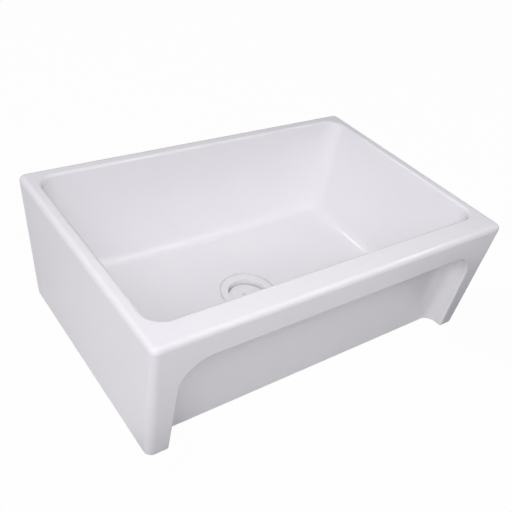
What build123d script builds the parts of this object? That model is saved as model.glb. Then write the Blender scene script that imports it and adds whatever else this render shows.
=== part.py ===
from build123d import *
import math
import os

# Fireclay kitchen sink with an apron front, and the basket-strainer waste in its drain.
# Millimetres, +Z up, front towards -Y, origin at the centre of the rim's outline on the base plane.

# Casting: outline at the rim, and how far each face is drawn in at the base
sink_width = 762.0
sink_depth = 508.0
sink_height = 254.0
side_taper = 15.0
front_taper = 16.5
back_taper = 28.5
rim_corner_r = 13.0
base_corner_r = 14.0
top_edge_r = 9.0
soft_edge_r = 4.0

# Bowl: rim widths at the top, wall positions at the foot of the walls
side_rim = 25.0
back_rim = 27.0
front_rim = 50.0
foot_z = 36.0
side_foot = 54.0
back_foot = 45.0
front_foot = 72.0
bowl_corner_r = 33.0
inner_rim_r = 6.0
floor_fillet_r = 25.0
floor_slope_deg = 2.6

# Arched recess in the apron, open at the bottom
leg_width = 54.5
rail_height = 55.0
arch_corner_r = 56.0
panel_back_at_rail = 31.0
panel_back_at_base = 52.0
recess_cove_r = 22.0
recess_lip = 1.0

# Drain in the floor of the bowl
drain_hole_r = 46.0
seat_r = 60.0
seat_depth = 4.5
seat_edge_r = 2.0
relief_r = 76.0
relief_depth = 6.0

# Waste: flanged cup and what clamps it
seat_clearance = 1.0
flange_thick = 2.0
flange_edge_r = 0.9
flange_seal_thick = 1.0
hole_clearance = 3.0
cup_wall = 1.6
cup_depth = 54.5
cup_floor_r = 6.0
gasket_r = 57.0
gasket_thick = 4.0
friction_ring_r = 55.0
friction_ring_thick = 1.5
lock_nut_wall = 7.8
lock_nut_height = 14.0
lug_count = 6
lug_reach = 7.0
lug_width = 13.0
spigot_r = 23.9
spigot_bore_r = 19.0
spigot_length = 24.0
guide_drop = 10.0
guide_thick = 4.0
guide_hub_r = 6.5
guide_arm_width = 3.0
guide_arms = 3

# Coupling to the tail pipe
tail_pipe_r = 19.05
tail_pipe_clearance = 0.3
tail_washer_thick = 2.0
coupling_flats = 58.0
coupling_lip = 3.5
coupling_grip = 13.0
thread_clearance = 0.2

# Basket and lid
basket_clearance = 1.0
basket_wall = 1.0
basket_height = 21.0
basket_foot_r = 31.0
basket_lip = 1.5
slot_count = 18
slot_width = 3.0
slot_length = 10.0
floor_hole_r = 2.2
floor_hole_counts = (8, 14)
floor_hole_rings = (13.5, 23.0)
stopper_r = 28.0
stopper_thick = 4.0
seat_gap = 0.3
post_r = 5.0
post_end_r = 3.0
post_clearance = 0.25
post_tip = 5.0
post_nut_flats = 11.0
post_nut_height = 5.0
lid_drop = 14.0
lid_gap = 2.6
lid_edge = 2.0
lid_crown = 1.5
knob_r = 8.0
knob_neck_r = 5.5
knob_height = 8.5
knob_neck = 2.8
knob_flare = 1.4
knob_edge_r = 2.1
knob_bore = 5.5

# How close an edge lies to the height, circle or face that picks it out
pick_within = 0.05

# Heights and places that follow from the sizes above
half_width = sink_width / 2
front_y = -sink_depth / 2
back_y = sink_depth / 2
bowl_depth = sink_height - foot_z
drain_y = (front_y + front_foot + back_y - back_foot) / 2
floor_slope = math.tan(math.radians(floor_slope_deg))
side_reach = half_width - side_foot
floor_z_at_seat = foot_z - floor_slope * (side_reach - seat_r)
seat_z = floor_z_at_seat - seat_depth
arch_top_z = sink_height - rail_height
panel_lean = math.atan2(panel_back_at_base - panel_back_at_rail, arch_top_z)
rail_reveal = panel_back_at_rail - front_taper * rail_height / sink_height
cove_r = min(recess_cove_r, rail_reveal - soft_edge_r - recess_lip)
flange_r = seat_r - seat_edge_r - seat_clearance
flange_z = seat_z + flange_seal_thick
flange_top_z = flange_z + flange_thick
cup_r = drain_hole_r - hole_clearance
cup_bore_r = cup_r - cup_wall
cup_floor_z = flange_top_z - cup_depth
spigot_end_z = cup_floor_z - spigot_length
gasket_z = relief_depth - gasket_thick
friction_ring_z = gasket_z - friction_ring_thick
lock_nut_z = friction_ring_z - lock_nut_height
guide_top_z = cup_floor_z - guide_drop
tail_washer_z = spigot_end_z - tail_washer_thick
coupling_z = tail_washer_z - coupling_lip
coupling_bore_r = tail_pipe_r + tail_pipe_clearance
thread_bore_r = cup_r + thread_clearance
lock_nut_r = thread_bore_r + lock_nut_wall
spigot_thread_r = spigot_r + thread_clearance
stopper_z = cup_floor_z + seat_gap
basket_z = stopper_z + stopper_thick
basket_floor_top_z = basket_z + basket_wall
basket_top_z = basket_z + basket_height
basket_r = cup_bore_r - basket_clearance
lid_r = cup_bore_r - lid_gap
lid_z = flange_top_z - lid_drop
knob_z = lid_z + lid_edge + lid_crown
post_top_z = knob_z + knob_bore
post_hole_r = post_end_r + post_clearance
post_end_z = guide_top_z - guide_thick - post_tip


def rounded_section(reach, front, back, radius, z):
    """Rounded rectangle at height z, between the two sides, the front line and the back line."""
    place = Pos(0, (front + back) / 2, z)
    return place * RectangleRounded(2 * reach, back - front, radius)


def turned(points):
    """Body of revolution about the drain's axis, from (radius, height) corners."""
    outline = Polyline([(radius, 0, z) for radius, z in points], close=True)
    return Pos(0, drain_y, 0) * revolve(make_face(outline), Axis.Z)


def disc(radius, z, thick):
    """Flat disc on the drain's axis."""
    return Pos(0, drain_y, z) * extrude(Circle(radius), thick)


def washer(inner, outer, z, thick):
    """Flat ring on the drain's axis."""
    return Pos(0, drain_y, z) * extrude(Circle(outer) - Circle(inner), thick)


def around(count, radius=0.0):
    """Evenly spaced places round the drain's axis."""
    return Pos(0, drain_y, 0) * PolarLocations(radius, count)


def off_axis(edge):
    """Distance of an edge's middle from the drain's axis."""
    middle = edge.center()
    return math.hypot(middle.X, middle.Y - drain_y)


def at_height(edge, z):
    """True for an edge that lies level at height z."""
    box = edge.bounding_box()
    return abs(box.min.Z - z) < pick_within and abs(box.max.Z - z) < pick_within


def on_circle(edge, radius, z):
    """True for the turned edge of that radius at height z."""
    return at_height(edge, z) and abs(edge.bounding_box().size.X - 2 * radius) < pick_within


# Casting: tapered block with a soft top edge
block_base = rounded_section(
    half_width - side_taper, front_y + front_taper, back_y - back_taper, base_corner_r, 0
)
block_top = rounded_section(half_width, front_y, back_y, rim_corner_r, sink_height)
block = loft([block_base, block_top], ruled=True)
block = fillet([e for e in block.edges() if at_height(e, sink_height)], top_edge_r)


def wall_inset(rim, foot, z):
    """Distance of a bowl wall from the sink's outline at height z."""
    return foot + (rim - foot) * (z - foot_z) / bowl_depth


def bowl_section(z):
    """Outline of the drafted bowl at height z."""
    reach = half_width - wall_inset(side_rim, side_foot, z)
    front = front_y + wall_inset(front_rim, front_foot, z)
    back = back_y - wall_inset(back_rim, back_foot, z)
    return rounded_section(reach, front, back, bowl_corner_r, z)


# Bowl: drafted walls over a shallow cone that falls to the drain
bowl = loft([bowl_section(0), bowl_section(sink_height + top_edge_r)], ruled=True)
cone_reach = sink_width
cone_rim_z = floor_z_at_seat + floor_slope * (cone_reach - seat_r)
cone_low_z = floor_z_at_seat - floor_slope * (seat_r - drain_hole_r)
floor_cone = turned(
    [
        (0, -sink_height),
        (0, cone_low_z),
        (drain_hole_r, cone_low_z),
        (cone_reach, cone_rim_z),
        (cone_reach, -sink_height),
    ]
)
bowl = bowl - floor_cone
foot_edges = [e for e in bowl.edges() if e.center().Z < foot_z + floor_fillet_r and off_axis(e) > seat_r]
bowl = fillet(foot_edges, floor_fillet_r)

# Recess: arch between the legs, back to a panel that leans with the bowl's front wall
recess_reach = half_width - leg_width
arch = Rectangle(2 * recess_reach, 2 * arch_top_z)
arch = fillet(arch.vertices().group_by(Axis.Y)[-1], arch_corner_r)
recess = extrude(Plane.XZ.offset(sink_depth) * arch, -sink_depth)
panel_normal = (0, -math.cos(panel_lean), -math.sin(panel_lean))
panel = Plane(origin=(0, front_y + panel_back_at_base, 0), x_dir=(1, 0, 0), z_dir=panel_normal)
recess = split(recess, bisect_by=panel, keep=Keep.TOP)
panel_face = recess.faces().sort_by(Axis.Y)[-1]
cove_edges = [e for e in panel_face.edges() if e.center().Z > -arch_top_z / 2]
recess = fillet(cove_edges, cove_r)

# Drain: seat in the floor, hole, and relief in the underside
seat = disc(seat_r, seat_z, bowl_depth)
seat = fillet(seat.edges().group_by(Axis.Z)[0], seat_edge_r)
hole = disc(drain_hole_r, -sink_height, 2 * sink_height)
relief = disc(relief_r, relief_depth - sink_height, sink_height)

sink_body = block - bowl - recess - seat - hole - relief
top_face = sink_body.faces().sort_by(Axis.Z)[-1]
sink_body = fillet(top_face.inner_wires()[0].edges(), inner_rim_r)

# Soft edges along the arch, round the feet and along the base
front_slope = front_taper / sink_height


def on_front(edge):
    """True for an edge in the leaning front face, below the rail's top."""
    ends = [edge @ 0, edge @ 0.5, edge @ 1]
    off_face = [abs(v.Y - front_y - front_slope * (sink_height - v.Z)) for v in ends]
    return max(off_face) < pick_within and max(v.Z for v in ends) < arch_top_z + pick_within


def on_base(edge):
    """True for an edge of the base's outer outline."""
    return at_height(edge, 0) and off_axis(edge) > relief_r + pick_within


soft_edges = [e for e in sink_body.edges() if on_front(e) or on_base(e)]
sink_body = fillet(soft_edges, soft_edge_r)

# Cup: flange, drawn wall, floor with the outlet, spigot
cup = turned(
    [
        (flange_r, flange_z),
        (flange_r, flange_top_z),
        (cup_bore_r, flange_top_z),
        (cup_bore_r, cup_floor_z),
        (spigot_bore_r, cup_floor_z),
        (spigot_bore_r, spigot_end_z),
        (spigot_r, spigot_end_z),
        (spigot_r, cup_floor_z - cup_wall),
        (cup_r, cup_floor_z - cup_wall),
        (cup_r, flange_z),
    ]
)
rounds = [
    (flange_r, flange_top_z, flange_edge_r),
    (cup_bore_r, flange_top_z, flange_edge_r),
    (cup_bore_r, cup_floor_z, cup_floor_r),
    (cup_r, cup_floor_z - cup_wall, cup_floor_r + cup_wall),
]
for radius, z, round_r in rounds:
    cup = fillet([e for e in cup.edges() if on_circle(e, radius, z)], round_r)
guide_z = guide_top_z - guide_thick
hub = washer(post_hole_r, guide_hub_r, guide_z, guide_thick)
arm_from = (post_hole_r + guide_hub_r) / 2
arm_to = (spigot_bore_r + spigot_r) / 2
arm_middle = Pos((arm_from + arm_to) / 2, 0, guide_z + guide_thick / 2)
arm = arm_middle * Box(arm_to - arm_from, guide_arm_width, guide_thick)
strainer_body = cup + hub + [place * arm for place in around(guide_arms)]

flange_seal = washer(drain_hole_r, flange_r, seat_z, flange_seal_thick)
under_gasket = washer(thread_bore_r, gasket_r, gasket_z, gasket_thick)
friction_ring = washer(thread_bore_r, friction_ring_r, friction_ring_z, friction_ring_thick)

# Lock nut: threaded ring with lugs for the spanner
lug_middle = Pos(lock_nut_r, 0, lock_nut_z + lock_nut_height / 2)
lug = lug_middle * Box(2 * lug_reach, lug_width, lock_nut_height)
lock_nut = disc(lock_nut_r, lock_nut_z, lock_nut_height) + [place * lug for place in around(lug_count)]
lock_nut = lock_nut - disc(thread_bore_r, lock_nut_z, lock_nut_height)

# Coupling: hexagon nut over the spigot, with a lip that carries the washer and the tail pipe
tail_washer = washer(coupling_bore_r, spigot_r, tail_washer_z, tail_washer_thick)
coupling_height = coupling_lip + tail_washer_thick + coupling_grip
hexagon = RegularPolygon(coupling_flats / 2, 6, major_radius=False)
coupling = Pos(0, drain_y, coupling_z) * extrude(hexagon, coupling_height)
coupling = coupling - disc(spigot_thread_r, tail_washer_z, coupling_height)
coupling_nut = coupling - disc(coupling_bore_r, coupling_z, coupling_lip)

# Basket: tapered cup with side slots and two rings of holes in its floor
basket = turned(
    [
        (post_hole_r, basket_z),
        (basket_foot_r, basket_z),
        (basket_r - basket_lip, basket_top_z - basket_wall),
        (basket_r, basket_top_z - basket_wall),
        (basket_r, basket_top_z),
        (basket_r - basket_lip - basket_wall, basket_top_z),
        (basket_foot_r - basket_wall, basket_floor_top_z),
        (post_hole_r, basket_floor_top_z),
    ]
)
slot_z = (basket_floor_top_z + basket_top_z) / 2
slot = extrude(Plane.YZ * SlotOverall(slot_length, slot_width, rotation=90), basket_r)
slots = [place * Pos(basket_foot_r / 2, 0, slot_z) * slot for place in around(slot_count)]
floor_hole = extrude(Circle(floor_hole_r), 2 * stopper_thick)
floor_holes = []
for ring_r, count in zip(floor_hole_rings, floor_hole_counts):
    below_floor = Pos(0, 0, basket_z - stopper_thick)
    floor_holes += [place * below_floor * floor_hole for place in around(count, ring_r)]
strainer_basket = basket - slots - floor_holes

# Post through lid, basket, stopper and guide
basket_post = turned(
    [
        (0, post_end_z),
        (post_end_r, post_end_z),
        (post_end_r, basket_floor_top_z),
        (post_r, basket_floor_top_z),
        (post_r, lid_z),
        (post_end_r, lid_z),
        (post_end_r, post_top_z - post_clearance),
        (0, post_top_z - post_clearance),
    ]
)
stopper_seal = washer(post_hole_r, stopper_r, stopper_z, stopper_thick)
nut_hexagon = RegularPolygon(post_nut_flats / 2, 6, major_radius=False)
post_nut_z = stopper_z - post_nut_height
post_nut = Pos(0, drain_y, post_nut_z) * extrude(nut_hexagon, post_nut_height)
post_nut = post_nut - disc(post_hole_r, post_nut_z, post_nut_height)

# Lid: crowned disc with a turned knob
lid_edge_z = lid_z + lid_edge
crown = TangentArc((knob_neck_r, 0, knob_z), (lid_r, 0, lid_edge_z), tangent=(1, 0, 0))
lid_rest = Polyline(
    [
        (knob_neck_r, 0, knob_z),
        (post_hole_r, 0, knob_z),
        (post_hole_r, 0, lid_z),
        (lid_r, 0, lid_z),
        (lid_r, 0, lid_edge_z),
    ]
)
basket_lid = Pos(0, drain_y, 0) * revolve(make_face([crown, lid_rest]), Axis.Z)
lid_knob = turned(
    [
        (post_hole_r, knob_z),
        (knob_neck_r, knob_z),
        (knob_neck_r, knob_z + knob_neck),
        (knob_r, knob_z + knob_neck + knob_flare),
        (knob_r, knob_z + knob_height),
        (0, knob_z + knob_height),
        (0, post_top_z),
        (post_hole_r, post_top_z),
    ]
)
knob_rim = [e for e in lid_knob.edges() if on_circle(e, knob_r, knob_z + knob_height)]
lid_knob = fillet(knob_rim, knob_edge_r)

pieces = {
    "sink_body": sink_body,
    "flange_seal": flange_seal,
    "strainer_body": strainer_body,
    "under_gasket": under_gasket,
    "friction_ring": friction_ring,
    "lock_nut": lock_nut,
    "tail_washer": tail_washer,
    "coupling_nut": coupling_nut,
    "strainer_basket": strainer_basket,
    "basket_post": basket_post,
    "stopper_seal": stopper_seal,
    "post_nut": post_nut,
    "basket_lid": basket_lid,
    "lid_knob": lid_knob,
}
os.makedirs("parts", exist_ok=True)
for node, shape in pieces.items():
    export_step(shape, "parts/" + node + ".step")
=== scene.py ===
import math

import bpy
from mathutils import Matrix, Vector


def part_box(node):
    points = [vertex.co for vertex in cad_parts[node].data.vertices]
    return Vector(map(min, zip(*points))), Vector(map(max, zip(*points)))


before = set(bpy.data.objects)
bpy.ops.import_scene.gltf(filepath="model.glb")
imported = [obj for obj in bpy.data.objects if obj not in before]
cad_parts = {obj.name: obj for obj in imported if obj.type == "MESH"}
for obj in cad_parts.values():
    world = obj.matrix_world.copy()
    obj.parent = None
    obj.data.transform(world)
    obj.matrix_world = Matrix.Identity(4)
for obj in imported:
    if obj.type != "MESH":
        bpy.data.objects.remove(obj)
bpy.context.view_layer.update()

# Places taken from the frame, in metres
MM = 0.001
sink_low, sink_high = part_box("sink_body")
flange_low, flange_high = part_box("strainer_body")
drain_axis = (flange_low + flange_high) / 2

# Camera, measured from the photograph's edges: place and far limit in metres, turn in degrees,
# lens and sensor in millimetres
CAMERA_PLACE = (-0.7331, -0.8312, 0.9272)
CAMERA_TURN = (53.633, -8.084, -35.193)
CAMERA_LENS = 48.87
CAMERA_SENSOR = 36.0
CAMERA_FAR = 50.0

# The glaze leaves faces bare that look down at least this steeply, within this height of the base
BARE_FACING = -0.85
BARE_HEIGHT = 12 * MM
# Blender's wave texture turns by this many radians per unit of its scale
WAVE_TURN = 20

# Studio floor, in metres, with a cut-out for the waste
FLOOR_REACH = 9.0
WASTE_CUTOUT_R = 0.072
WASTE_CUTOUT_SIDES = 96
FLOOR_PLAIN = "#DCDCDC"
FLOOR_SHADOW_SHARE = 0.02
FLOOR_SHINE_SHARE = 0.15
# Painted shade: soft dark spots painted on the floor before the two feet, which keep the floor's
# light off them: middle, reach, depth
FLOOR_SHADE_SPOTS = [
    ((sink_low.x + 0.025, sink_low.y), (0.12, 0.085), 0.4),
    ((sink_high.x + 0.09, sink_low.y - 0.042), (0.2, 0.125), 0.9),
]
# Tone of the painted shade in the floor spots
FLOOR_SHADE_TONE = "#101010"
# Share of a painted shade spot's reach over which it fades out
FLOOR_SHADE_FADE = 0.5

# Light: strength of the white that the camera sees, and of the tent that the gloss shows
WHITE = (1, 1, 1, 1)
BACKGROUND_WHITE = 1.0
TENT_AT_HORIZON = 0.1
TENT_OVERHEAD = 1.3
# The photograph's faint cool tint lies evenly on every face, so the lamps carry it
LAMP_TINT = (1.014, 0.991, 1.046)
# Angle over which a lamp without a grid shines
OPEN_ANGLE = 180
# Points that the lamps are aimed at
SINK_MIDDLE = (0, 0, 0.1)
RIM_MIDDLE = (0, 0, 0.25)
BOWL_BACK = (0, 0.21, 0.12)
BACK_COVE = (-0.22, 0.20, 0.04)
RIGHT_COVE = (0.32, 0.03, 0.04)
# Name, place, aim, width and height in metres, watts,
# and for a lamp behind a grid the angle in degrees that it lets through
SOFTBOXES = [
    ("left_softbox", (-2.70, 0.0, 0.82), SINK_MIDDLE, 1.7, 1.7, 16.0),
    ("left_wall_bounce", (-3.2, 0.0, 1.5), SINK_MIDDLE, 5.0, 2.9, 11.0),
    ("key_softbox", (-1.40, -1.40, 2.08), SINK_MIDDLE, 1.7, 1.7, 20.4),
    ("front_softbox", (0.0, -1.03, 1.33), SINK_MIDDLE, 0.8, 0.8, 7.6),
    ("near_left_softbox", (-0.95, -0.39, 1.33), SINK_MIDDLE, 0.8, 0.8, 3.5),
    ("right_softbox", (1.98, 0.0, 2.08), SINK_MIDDLE, 1.7, 1.7, 8.4),
    ("back_ceiling_softbox", (0.0, 2.2, 2.8), SINK_MIDDLE, 4.0, 3.0, 22.6),
    ("bowl_back_strip", (0.0, -1.6, 1.2), BOWL_BACK, 0.7, 0.06, 0.04, 14),
]
# The same for the lamps that only the gloss shows
GLINTS = [
    ("front_edge_glint", (1.32, -1.51, 2.15), RIM_MIDDLE, 1.3, 0.3, 4.5),
    ("front_edge_dim_glint", (2.0, -0.35, 2.15), RIM_MIDDLE, 1.3, 0.3, 2.5),
    ("right_cove_glint", (0.03, 1.58, 2.50), RIGHT_COVE, 0.10, 0.50, 0.038, 14),
    ("back_cove_glint", (0.98, -0.80, 2.50), BACK_COVE, 0.17, 0.08, 0.017, 14),
]


def colour(hex_code):
    """sRGB hex to the linear RGBA that shaders take."""
    values = [int(hex_code[i:i + 2], 16) / 255 for i in (1, 3, 5)]
    linear = [v / 12.92 if v <= 0.04045 else ((v + 0.055) / 1.055) ** 2.4 for v in values]
    return (*linear, 1.0)


def per_metre(size_mm):
    """Texture scale that gives a pattern of that size in millimetres."""
    return 1.0 / (size_mm * MM)


def feed(tree, target, inputs):
    """Sets a node's inputs, or links them where the value is another node's output."""
    for name, value in inputs.items():
        if isinstance(value, bpy.types.NodeSocket):
            tree.links.new(value, target.inputs[name])
        else:
            target.inputs[name].default_value = value


def node(tree, kind, inputs=None, **settings):
    """Adds a node, sets its properties, and feeds its inputs."""
    made = tree.nodes.new(kind)
    for name, value in settings.items():
        setattr(made, name, value)
    feed(tree, made, inputs or {})
    return made


def calculate(tree, operation, *values, clamp=False):
    """Output of a math node."""
    inputs = dict(enumerate(values))
    result = node(tree, "ShaderNodeMath", inputs, operation=operation, use_clamp=clamp)
    return result.outputs[0]


def blend(tree, share, first, second):
    """Colour that goes from the first to the second with the share."""
    mixed = node(tree, "ShaderNodeMix", {"Factor": share, "A": first, "B": second}, data_type="RGBA")
    return mixed.outputs["Result"]


def noise(tree, place, patch_mm, detail):
    """Cloudy pattern with patches of that size."""
    pattern = node(
        tree,
        "ShaderNodeTexNoise",
        {"Vector": place, "Scale": per_metre(patch_mm), "Detail": detail},
    )
    return pattern.outputs["Fac"]


def relief(tree, height, strength, depth_mm):
    """Surface normal that follows a pattern as if it had that depth."""
    bump = node(
        tree,
        "ShaderNodeBump",
        {"Height": height, "Strength": strength, "Distance": depth_mm * MM},
    )
    return bump.outputs["Normal"]


def new_material(name):
    """Material with its Principled shader and Object coordinates."""
    material = bpy.data.materials.new(name)
    material.use_nodes = True
    tree = material.node_tree
    shader = tree.nodes["Principled BSDF"]
    place = node(tree, "ShaderNodeTexCoord").outputs["Object"]
    return material, tree, shader, place


def bare_clay_share(tree, place):
    """1 on the underside, which stands on the kiln shelf, and 0 elsewhere."""
    normal = node(tree, "ShaderNodeNewGeometry").outputs["Normal"]
    facing = node(tree, "ShaderNodeSeparateXYZ", {"Vector": normal}).outputs["Z"]
    height = node(tree, "ShaderNodeSeparateXYZ", {"Vector": place}).outputs["Z"]
    faces_down = calculate(tree, "LESS_THAN", facing, BARE_FACING)
    at_base = calculate(tree, "LESS_THAN", height, BARE_HEIGHT)
    return calculate(tree, "MULTIPLY", faces_down, at_base)


def glazed_fireclay():
    """Vitreous white glaze fired over fireclay: deep gloss with a faint orange-peel ripple.
    The underside stays bare, matt and buff, with the fine grog of the clay."""
    material, tree, shader, place = new_material("glazed_fireclay")
    cloud = noise(tree, place, patch_mm=140, detail=2.0)
    grog = noise(tree, place, patch_mm=3, detail=5.0)
    peel = noise(tree, place, patch_mm=9, detail=1.5)
    bare = bare_clay_share(tree, place)
    glaze = blend(tree, cloud, colour("#F4F4F5"), colour("#F7F7F7"))
    clay = blend(tree, grog, colour("#C9BDA9"), colour("#DDD3C2"))
    gloss = node(tree, "ShaderNodeMapRange", {"Value": cloud, "To Min": 0.05, "To Max": 0.08})
    roughness = node(tree, "ShaderNodeMix", {"Factor": bare, "A": gloss.outputs["Result"], "B": 0.85})
    feed(
        tree,
        shader,
        {
            "Base Color": blend(tree, bare, glaze, clay),
            "Roughness": roughness.outputs["Result"],
            "Normal": relief(tree, peel, strength=0.06, depth_mm=0.6),
            "IOR": 1.52,
        },
    )
    return material


def white_coat():
    """Gloss white coat baked on metal: a shade purer than the glaze, with a fine flow ripple."""
    material, tree, shader, place = new_material("white_baked_coat")
    flow = noise(tree, place, patch_mm=4, detail=2.0)
    feed(
        tree,
        shader,
        {
            "Base Color": blend(tree, flow, colour("#F4F4F5"), colour("#F8F8F8")),
            "Roughness": 0.2,
            "Normal": relief(tree, flow, strength=0.05, depth_mm=0.2),
            "IOR": 1.5,
        },
    )
    return material


def turned_metal(name, dark, light, roughness, line_mm):
    """Lathe-turned metal: fine rings round the drain's axis, seen as a soft circular grain."""
    material, tree, shader, place = new_material(name)
    to_axis = (-drain_axis.x, -drain_axis.y, 0)
    centred = node(tree, "ShaderNodeMapping", {"Vector": place, "Location": to_axis})
    waves = node(
        tree,
        "ShaderNodeTexWave",
        {
            "Vector": centred.outputs["Vector"],
            "Scale": per_metre(line_mm) / WAVE_TURN,
            "Distortion": 1.5,
            "Detail": 2.0,
        },
        wave_type="RINGS",
        rings_direction="Z",
    )
    rings = waves.outputs["Fac"]
    feed(
        tree,
        shader,
        {
            "Base Color": blend(tree, rings, colour(dark), colour(light)),
            "Metallic": 1.0,
            "Roughness": roughness,
            "Normal": relief(tree, rings, strength=0.08, depth_mm=0.1),
        },
    )
    return material


def moulded(name, dark, light, roughness, grit_mm):
    """Moulded or pressed ring: matt, with a fine grit and slight blotches."""
    material, tree, shader, place = new_material(name)
    grit = noise(tree, place, patch_mm=grit_mm, detail=4.0)
    feed(
        tree,
        shader,
        {
            "Base Color": blend(tree, grit, colour(dark), colour(light)),
            "Roughness": roughness,
            "Normal": relief(tree, grit, strength=0.2, depth_mm=0.2),
        },
    )
    return material


def dress(name, material):
    """Gives a CAD node that material."""
    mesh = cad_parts[name].data
    mesh.materials.clear()
    mesh.materials.append(material)
    mesh.polygons.foreach_set("material_index", [0] * len(mesh.polygons))


def dress_sink():
    """Finish of every CAD node."""
    coat = white_coat()
    brass = turned_metal("turned_brass", "#A8823F", "#C9A763", roughness=0.32, line_mm=0.6)
    steel = turned_metal("brushed_stainless_steel", "#9A9B9D", "#C4C5C7", roughness=0.28, line_mm=0.5)
    rubber = moulded("black_rubber", "#151515", "#242424", roughness=0.75, grit_mm=0.8)
    foam = moulded("pale_foam_seal", "#A8A69F", "#B9B7B0", roughness=0.8, grit_mm=0.8)
    fibre = moulded("brown_fibre", "#7A5C3C", "#97744E", roughness=0.9, grit_mm=1.0)
    nylon = moulded("white_nylon", "#DAD9D4", "#E6E5E1", roughness=0.5, grit_mm=1.0)
    finishes = {
        "sink_body": glazed_fireclay(),
        "strainer_body": coat,
        "basket_lid": coat,
        "lid_knob": coat,
        "flange_seal": foam,
        "under_gasket": rubber,
        "stopper_seal": rubber,
        "friction_ring": fibre,
        "tail_washer": nylon,
        "lock_nut": brass,
        "coupling_nut": brass,
        "post_nut": brass,
        "strainer_basket": steel,
        "basket_post": steel,
    }
    for name, material in finishes.items():
        dress(name, material)


def shown_share(tree, path):
    """1 for what the camera sees, also through glass, and 0 for other light."""
    return calculate(
        tree, "ADD", path.outputs["Is Camera Ray"], path.outputs["Is Transmission Ray"], clamp=True
    )


def painted_shade_share(tree, middle, reach, depth):
    """Share of the painted shade in a floor spot: its depth round the middle, fading to none at its
    reach.
    """
    centred = node(
        tree,
        "ShaderNodeMapping",
        {
            "Vector": node(tree, "ShaderNodeTexCoord").outputs["Object"],
            "Location": (-middle[0] / reach[0], -middle[1] / reach[1], 0),
            "Scale": (1 / reach[0], 1 / reach[1], 1),
        },
    )
    nearness = node(
        tree,
        "ShaderNodeTexGradient",
        {"Vector": centred.outputs["Vector"]},
        gradient_type="SPHERICAL",
    )
    share = node(
        tree,
        "ShaderNodeMapRange",
        {"Value": nearness.outputs["Fac"], "From Max": FLOOR_SHADE_FADE, "To Max": depth},
    )
    return share.outputs["Result"]


def studio_white():
    """White to the camera, part white in reflections, a plain pale surface to other light.
    The plain share keeps the sink's shadow, and is darkened by painted shade in spots before the
    feet."""
    material = bpy.data.materials.new("studio_white")
    material.use_nodes = True
    tree = material.node_tree
    tree.nodes.clear()
    path = node(tree, "ShaderNodeLightPath")
    shown = calculate(tree, "MULTIPLY", shown_share(tree, path), 1 - FLOOR_SHADOW_SHARE)
    white_share = calculate(
        tree, "MULTIPLY_ADD", path.outputs["Is Glossy Ray"], FLOOR_SHINE_SHARE, shown, clamp=True
    )
    tone = colour(FLOOR_PLAIN)
    # Painted shade: the floor's plain tone darkened in spots before the feet
    for shade_spot in FLOOR_SHADE_SPOTS:
        tone = blend(tree, painted_shade_share(tree, *shade_spot), tone, colour(FLOOR_SHADE_TONE))
    plain = node(tree, "ShaderNodeBsdfDiffuse", {"Color": tone})
    white = node(tree, "ShaderNodeEmission", {"Color": WHITE, "Strength": BACKGROUND_WHITE})
    mixed = node(
        tree,
        "ShaderNodeMixShader",
        {"Fac": white_share, 1: plain.outputs["BSDF"], 2: white.outputs["Emission"]},
    )
    node(tree, "ShaderNodeOutputMaterial", {"Surface": mixed.outputs["Shader"]})
    return material


def studio_floor():
    """Level floor that the base rests on, with a round cut-out that the waste hangs through."""
    middle = (drain_axis.x, drain_axis.y, sink_low.z)
    bpy.ops.object.select_all(action="DESELECT")
    bpy.ops.mesh.primitive_circle_add(
        vertices=WASTE_CUTOUT_SIDES, radius=WASTE_CUTOUT_R, location=middle
    )
    floor = bpy.context.object
    floor.name = "studio_floor"
    bpy.ops.object.mode_set(mode="EDIT")
    bpy.ops.mesh.select_all(action="SELECT")
    bpy.ops.mesh.extrude_edges_move()
    grow = FLOOR_REACH / WASTE_CUTOUT_R
    bpy.ops.transform.resize(value=(grow, grow, 1), center_override=middle)
    bpy.ops.object.mode_set(mode="OBJECT")
    bpy.ops.object.transform_apply(location=True, rotation=True, scale=True)
    floor.data.materials.append(studio_white())


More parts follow.
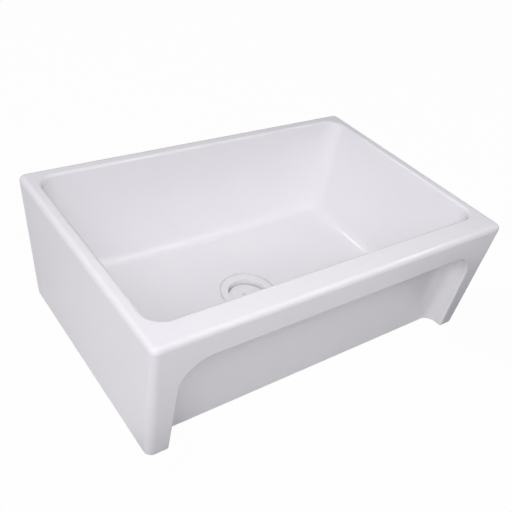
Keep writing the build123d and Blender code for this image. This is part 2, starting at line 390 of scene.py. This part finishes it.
def light_tent():
    """World that the camera sees white, and the gloss dim at the horizon and bright overhead."""
    world = bpy.data.worlds.new("light_tent")
    bpy.context.scene.world = world
    world.use_nodes = True
    tree = world.node_tree
    tree.nodes.clear()
    path = node(tree, "ShaderNodeLightPath")
    direction = node(tree, "ShaderNodeTexCoord").outputs["Generated"]
    upward = node(tree, "ShaderNodeSeparateXYZ", {"Vector": direction}).outputs["Z"]
    tent = node(
        tree,
        "ShaderNodeMapRange",
        {"Value": upward, "To Min": TENT_AT_HORIZON, "To Max": TENT_OVERHEAD},
    )
    in_gloss = calculate(tree, "MULTIPLY", tent.outputs["Result"], path.outputs["Is Glossy Ray"])
    strength = node(
        tree,
        "ShaderNodeMix",
        {"Factor": shown_share(tree, path), "A": in_gloss, "B": BACKGROUND_WHITE},
    )
    light = node(
        tree, "ShaderNodeBackground", {"Color": WHITE, "Strength": strength.outputs["Result"]}
    )
    node(tree, "ShaderNodeOutputWorld", {"Surface": light.outputs["Background"]})


def area_lamp(name, place, aim, width, height, watts, grid_angle=OPEN_ANGLE, in_gloss=False):
    """Rectangular lamp, open or behind a grid, that lights the gloss alone or all but the gloss."""
    lamp = bpy.data.lights.new(name, "AREA")
    lamp.shape = "RECTANGLE"
    lamp.size = width
    lamp.size_y = height
    lamp.energy = watts
    lamp.spread = math.radians(grid_angle)
    lamp.color = LAMP_TINT
    stand = bpy.data.objects.new(name, lamp)
    stand.location = place
    stand.rotation_euler = (Vector(aim) - Vector(place)).to_track_quat("-Z", "Y").to_euler()
    stand.visible_camera = False
    stand.visible_glossy = in_gloss
    stand.visible_diffuse = not in_gloss
    bpy.context.scene.collection.objects.link(stand)


def studio_light():
    """Light tent, softboxes for the faces, and lamps for the lines of light on edges and coves."""
    light_tent()
    for row in SOFTBOXES:
        area_lamp(*row)
    for row in GLINTS:
        area_lamp(*row, in_gloss=True)


def camera():
    """The photograph's viewpoint."""
    data = bpy.data.cameras.new("camera")
    data.sensor_width = CAMERA_SENSOR
    data.sensor_fit = "HORIZONTAL"
    data.lens = CAMERA_LENS
    data.clip_end = CAMERA_FAR
    stand = bpy.data.objects.new("camera", data)
    stand.location = CAMERA_PLACE
    stand.rotation_euler = [math.radians(v) for v in CAMERA_TURN]
    bpy.context.scene.collection.objects.link(stand)
    bpy.context.scene.camera = stand


dress_sink()
studio_floor()
studio_light()
camera()
bpy.context.scene.view_settings.view_transform = "Standard"
